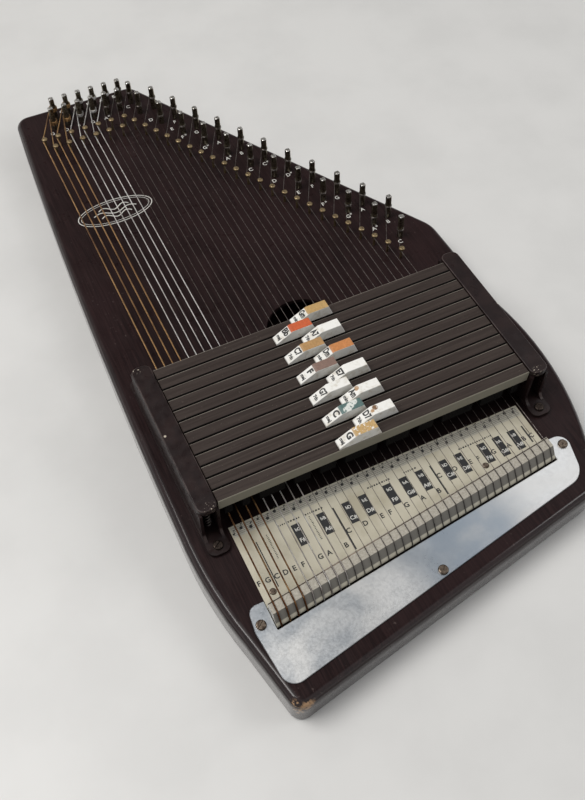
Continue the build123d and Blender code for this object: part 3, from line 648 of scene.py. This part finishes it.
BRONZE = wound("Bronze winding", (0.36, 0.22, 0.10), (0.15, 0.08, 0.04), 1.0)
WOUND_NICKEL = wound("Nickel winding", (0.66, 0.65, 0.63), (0.34, 0.32, 0.30), 0.45)
STRING_SETS = [
    ("strings_bass_wound", range(0, 4), "bronze_wound_string", BRONZE),
    ("strings_mid_wound", range(4, 9), "nickel_wound_string", WOUND_NICKEL),
    ("strings_plain", range(9, COUNT), "string_steel", STEEL),
]
for cad_name, members, slot_name, mat in STRING_SETS:
    model = bmesh.new()
    for string in members:
        tube(model, string_points(string), string_radius(string))
        hitch = Vector((string_x(string), bridge_foot(string_x(string)) - 6.5, SURFACE - 3.5))
        turns = [2 * math.pi * k / 16 for k in range(17)]
        loop = [hitch + Vector((math.cos(t) * 1.55, math.sin(t) * 1.55, 0)) for t in turns]
        tube(model, loop, 0.45)
    strings = mesh_object("visual_" + cad_name, model, mat)
    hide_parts(cad_name)

# a rod along the top of the bridge block, and dark strips painted as the shade in the grooves that the
# strings run in
model = bmesh.new()
left, right = string_x(0) - 2.9, string_x(COUNT - 1) + 2.9
tube(model, [Vector((x, bridge_foot(x) + 12.4, SURFACE + 8.0)) for x in (left, right)], 0.5)
mesh_object("saddle_rod", model, NICKEL)

# painted shade: dark strips along each string's path over the bridge block
slot_shadows = bmesh.new()
for string in range(COUNT):
    x, foot = string_x(string), bridge_foot(string_x(string))
    half = string_radius(string) * 0.8 + 0.15
    line = [(foot + 13.0, 8.38), (foot + 5.4, 8.38), (foot + 0.3, 1.1), (foot - 0.04, 0.2)]
    for (y0, z0), (y1, z1) in zip(line, line[1:]):
        corners = [(x - half, y0, z0), (x + half, y0, z0), (x + half, y1, z1), (x - half, y1, z1)]
        slot_shadows.faces.new([slot_shadows.verts.new((a, b, SURFACE + c)) for a, b, c in corners])
mesh_object("string_slot_shadows", slot_shadows, BLACK_PRINT_AND_SHADOW)

# ---------------------------------------------------------------- chart print
CHART = SURFACE + 0.4  # the paper's upper face
LETTER_ROWS = ((range(0, 11), -208.5), (range(11, 23), -200.3), (range(23, COUNT), -190.7))
black, grey, white = bmesh.new(), bmesh.new(), bmesh.new()
random.seed(4)
for string in range(COUNT):
    x, name = string_x(string), NOTES[string]
    if "#" in name:
        patch(black, x - 2.9, -197.0, x + 2.9, -181.2, CHART + 0.03)
        lettering(white, name, 4.0, at(x + 0.2, -193.2, CHART + 0.05), 0.06)
        lettering(white, "b", 3.2, at(x - 0.8, -185.2, CHART + 0.05), 0.05)
        lettering(white, NOTES[(string + 1) % COUNT][0], 3.2, at(x + 1.0, -185.4, CHART + 0.05), 0.05)
    else:
        row = [y for strings, y in LETTER_ROWS if string in strings][0]
        lettering(black, name, 4.9, at(x - 1.2, row, CHART + 0.03), 0.14)
    # a small note on the staff
    beat = -171.2 + 4.6 * ((string * 7) % 12) / 12
    lettering(black, "o" if string % 3 else "•", 3.0, at(x - 1.6, beat, CHART + 0.04), 0.36)
    patch(black, x - 1.0, beat + 0.1, x - 0.65, beat + 3.0, CHART + 0.04)
    patch(black, x - 1.0, beat + 2.4, x + 0.4, beat + 3.0, CHART + 0.04)
for x, low in ((-51.8, -213.6), (20.2, -205.0), (92.2, -195.6)):
    patch(black, x - 0.55, low, x + 0.55, -181.4, CHART + 0.035)
patch(black, -106.3, -215.0, -105.6, -182.0, CHART + 0.035)
patch(grey, -117.0, -173.6, 97.4, -166.0, CHART + 0.02)
for line in range(5):
    y = -172.2 + 1.25 * line
    patch(black, -116.4, y, 97.0, y + 0.2, CHART + 0.03)
# rows of small dashes in place of words
WORD_ROWS = ((-178.0, -89, -74), (-178.2, -70, -58), (-178.4, -25, -8), (-178.6, 2, 10), (-178.8, 44, 70))
for row, first, last in WORD_ROWS:
    x = first
    while x < last:
        width = 0.5 + random.random() * 0.9
        patch(black, x, row - 0.6, x + width, row + 0.5, CHART + 0.03)
        x += width + 0.7
for x in (-101.5, -98.5, -68.5):
    for step in range(16):
        y = -198.0 + step * 1.15
        patch(black, x, y, x + 0.7 + 0.5 * random.random(), y + 0.55, CHART + 0.03)
mesh_object("chart_black_print", black, BLACK_PRINT_AND_SHADOW)
mesh_object("chart_grey_band", grey, GREY_INK)
mesh_object("chart_white_print", white, WHITE_INK)

# ---------------------------------------------------------------- letters by the tuning pins
BASS_FRONT = [(-102.8, 252.2), (-90.1, 252.2), (-78.6, 252.2), (-66.1, 252.2), (-54.1, 252.2)]
BASS_BACK = [(-86.8, 277.7), (-74.4, 277.7), (-62.5, 277.7), (-50.0, 277.7), (-38.0, 277.7)]
painted = bmesh.new()
spots = dict(zip((1, 3, 5, 7, 9), BASS_FRONT))
spots.update(zip((2, 4, 6, 8, 10), BASS_BACK))
spots.update({11: (-31.3, 258.3), 13: (-19.2, 232.5), 15: (-7.0, 212.9)})
for string in range(16, COUNT):
    foot = tuning_pin(string, 0.0)
    spots[string] = (foot.x - 2.6, foot.y - 5.4)
for string, (x, y) in spots.items():
    lettering(painted, NOTES[string][0], 5.2, at(x, y, SURFACE + 0.04), 0.07)
    if "#" in NOTES[string]:
        lettering(painted, "#", 2.8, at(x + 3.2, y + 2.0, SURFACE + 0.04), 0.04)
mesh_object("painted_note_letters", painted, WHITE_INK)

# ---------------------------------------------------------------- emblem
emblem = bmesh.new()


def ribbon(points, width, closed=False):
    """Adds a flat line of a width to the emblem."""
    count = len(points)
    pairs = []
    for index, point in enumerate(points):
        ahead = points[(index + 1) % count] if closed else points[min(index + 1, count - 1)]
        behind = points[index - 1] if closed or index else point
        along = (ahead - behind).normalized()
        side = Vector((-along.y, along.x, 0)) * width / 2
        pairs.append((emblem.verts.new(point + side), emblem.verts.new(point - side)))
    if closed:
        pairs.append(pairs[0])
    for (a, b), (c, d) in zip(pairs, pairs[1:]):
        emblem.faces.new((a, b, d, c))


def on_board(x, y):
    return Vector((x - 85.8, y + 137.7, SURFACE + 0.04))


for across, along, width in ((31, 13.5, 0.7), (28.6, 11.3, 0.4)):
    turns = [2 * math.pi * k / 64 for k in range(64)]
    ribbon([on_board(across * math.cos(t), along * math.sin(t)) for t in turns], width, closed=True)
for lift in (-4.4, 0.0, 4.4):
    wave = [k / 24 for k in range(25)]
    reach = 18 - abs(lift) * 1.2
    ribbon([on_board((2 * k - 1) * reach, lift + 2.2 * math.sin(k * 3 * math.pi)) for k in wave], 0.9)
mesh_object("emblem", emblem, WHITE_INK)

# ---------------------------------------------------------------- chord bars
# name of the part, chord, kind of chord, colour of the ink, wear of the ink
CHORDS = [
    ("01_g_minor", "Gm", "min", (0.50, 0.32, 0.125), 0.0),
    ("02_b_flat_major", "Bb", "maj", (0.58, 0.115, 0.038), 0.0),
    ("03_a_seventh", "A7", "7th", None, 0),
    ("04_c_seventh", "C7", "7th", (0.45, 0.26, 0.105), 0.0),
    ("05_d_minor", "Dm", "min", (0.56, 0.225, 0.075), 0.0),
    ("06_f_major", "F", "maj", (0.235, 0.15, 0.12), 0.02),
    ("07_e_seventh", "E7", "7th", None, 0),
    ("08_g_seventh", "G7", "7th", None, 0),
    ("09_a_minor", "Am", "min", None, 0),
    ("10_c_major", "C", "maj", (0.095, 0.165, 0.155), -0.1),
    ("11_d_seventh", "D7", "7th", None, 0),
    ("12_g_major", "G", "maj", (0.55, 0.36, 0.15), 0.13),
]
WORN_WHITE, TAN, BROWN = (0.66, 0.68, 0.64), (0.42, 0.25, 0.12), (0.20, 0.11, 0.055)
# worn spots by the bar's index: point in mm, reach in mm, colour
PATCHES = {
    8: (((-9.6, -129.8, 70.6), 1.3, TAN),),
    9: (
        ((-22.5, -142.0, 71.0), 2.4, WORN_WHITE),
        ((-16.5, -138.2, 71.0), 2.2, WORN_WHITE),
        ((-19.5, -140.2, 71.0), 2.0, WORN_WHITE),
    ),
    10: (((-6.2, -148.4, 71.0), 1.5, BROWN), ((-8.8, -150.0, 71.0), 0.9, TAN)),
}
SPRING_BASE = SURFACE + 2.95
SPRING_TOP = 52.65
SPRING_X = (-128.5, 110.6)
SPRING_RADIUS = 2.2
SPRING_TURNS = 6
for index, (key, title, kind, ink, wear) in enumerate(CHORDS):
    body = "chord_bar_" + key
    button = "chord_button_" + key
    centre = BAR_REAR - BAR_PITCH * (index + 0.5)
    paint("chord_bar_" + key, FRONT_BAR_LACQUER if index == 11 else GAP_SHADED_BAR_LACQUER)
    paint("chord_felt_" + key, FELT)
    paint(button, button_plastic("Button " + title, ink, wear, PATCHES.get(index, ())))
    smooth(NODES[button], 25)
    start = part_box(button)[0].x / MM
    slope = math.atan2(BUTTON_HEIGHT - BUTTON_LIP, BUTTON_FOLD)
    tilt = Matrix.Rotation(-slope, 4, "Y") @ Matrix.Rotation(-math.pi / 2, 4, "Z")
    letters = bmesh.new()
    for text, size, along, bold in ((title, 6.2, 8.2, 0.30), (kind, 3.3, 3.2, 0.16)):
        height = BAR_TOP + BUTTON_LIP + along * math.tan(slope) + 0.06
        spot = Matrix.Translation((start + along, centre - 0.2, height)) @ tilt
        lettering(letters, text, size, spot, bold, 5.7)
    mesh_object("label_" + key, letters, LABEL_INK, body)
    coils = bmesh.new()
    for x in SPRING_X:
        line = []
        for step in range(SPRING_TURNS * STEPS_A_TURN + 1):
            turned = step / STEPS_A_TURN
            angle = 2 * math.pi * turned
            height = SPRING_BASE + (SPRING_TOP - SPRING_BASE) * turned / SPRING_TURNS
            across, along = SPRING_RADIUS * math.cos(angle), SPRING_RADIUS * math.sin(angle)
            line.append(Vector((x + across, centre + along, height)))
        tube(coils, line, 0.35, 6)
    springs = mesh_object("springs_" + key, coils, STEEL, BODY)
    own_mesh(springs)
    if index == 0:
        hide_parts("bar_springs")

# ---------------------------------------------------------------- stage
# a table that curves up into a wall behind; it lies a hair above the object's underside
floor_model = bmesh.new()
profile = [(-2.6, 0.0001), (1.4, 0.0001), (1.9, 0.08), (2.2, 0.35), (2.3, 0.8), (2.3, 3.0)]
rows = [[floor_model.verts.new((x, y, z)) for x in (-3.5, 3.5)] for y, z in profile]
for low, high in zip(rows, rows[1:]):
    floor_model.faces.new((low[0], low[1], high[1], high[0]))
floor_mesh = bpy.data.meshes.new("floor")
floor_model.to_mesh(floor_mesh)
floor_model.free()
floor = bpy.data.objects.new("floor", floor_mesh)
bpy.context.scene.collection.objects.link(floor)
floor_mesh.materials.append(plain("Pale tabletop", (0.64, 0.635, 0.62), 0.42, 0.06, 12))
floor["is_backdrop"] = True

world = bpy.data.worlds.new("Studio")
bpy.context.scene.world = world
world.use_nodes = True
background = world.node_tree.nodes["Background"]
background.inputs["Color"].default_value = (0.98, 0.985, 1.0, 1)
background.inputs["Strength"].default_value = 0.36


def lamp(name, place_m, aim, size, power, color=(1, 1, 1)):
    """A soft rectangular light that points at a place."""
    data = bpy.data.lights.new(name, "AREA")
    data.shape, data.size, data.energy, data.color = "SQUARE", size, power, color
    obj = bpy.data.objects.new(name, data)
    obj.location = place_m
    obj.rotation_euler = (Vector(aim) - Vector(place_m)).to_track_quat("-Z", "Y").to_euler()
    bpy.context.scene.collection.objects.link(obj)
    obj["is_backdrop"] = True


lamp("key", (-1.0, 0.3, 2.0), (0.05, 0, 0), 1.3, 38, (1.0, 0.985, 0.965))
lamp("back", (1.0, 0.32, 1.4), (0.1, -0.15, 0), 0.7, 1.5)
lamp("side", (1.4, -0.7, 1.3), (0, 0, 0), 0.8, 7)

# ---------------------------------------------------------------- camera
camera_data = bpy.data.cameras.new("camera")
camera_data.sensor_fit = "VERTICAL"
camera_data.sensor_height = 36.0
camera_data.lens = 41.4
camera = bpy.data.objects.new("camera", camera_data)
# the camera's axes
right_axis = Vector((0.9004881, -0.4348736, -0.0024738))
forward = Vector((0.2477131, 0.5175958, -0.8189828))
up_axis = right_axis.cross(forward)
turn = Matrix((right_axis, up_axis, -forward)).transposed().to_4x4()
camera.matrix_world = Matrix.Translation((-0.19626, -0.42440, 0.55200)) @ turn
bpy.context.scene.collection.objects.link(camera)
bpy.context.scene.camera = camera
bpy.context.scene.view_settings.view_transform = "Standard"

corners = {"cad": cad_bounds, "visual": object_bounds()}
